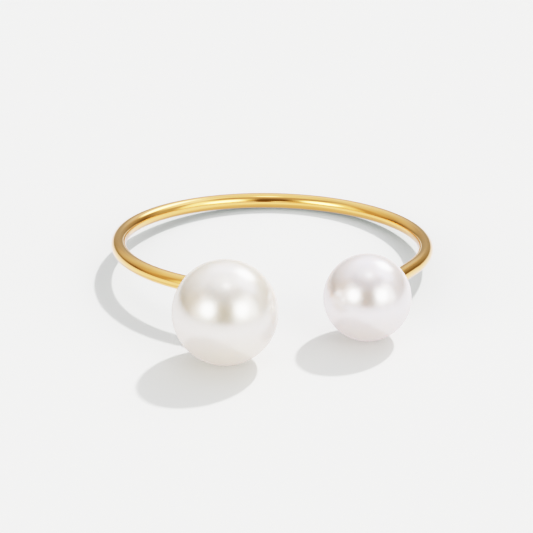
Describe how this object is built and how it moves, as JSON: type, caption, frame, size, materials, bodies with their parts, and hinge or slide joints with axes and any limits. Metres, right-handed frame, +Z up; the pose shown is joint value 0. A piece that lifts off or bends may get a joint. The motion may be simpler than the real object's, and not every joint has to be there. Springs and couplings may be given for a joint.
{
  "type": "open cuff finger ring",
  "caption": "Open finger ring of round gold wire, lying on its side, with a large pearl on one end of the wire and a smaller pearl on the other.",
  "frame": {"origin": "on the floor that the ring lies on, under the middle of the whole ring's box", "axes": "+Z up from the floor; +Y from the pearls to the back of the hoop; +X from the large pearl's side to the small pearl's side"},
  "size_m": [0.0188, 0.025, 0.006],
  "materials": {
    "gold": "polished yellow gold plate",
    "cream_pearl": "lustrous cream nacre",
    "rose_pearl": "lustrous pale rose nacre"
  },
  "bodies": {
    "root": {"hoop": "gold", "large_pearl": "cream_pearl", "small_pearl": "rose_pearl"}
  },
  "joints": []
}
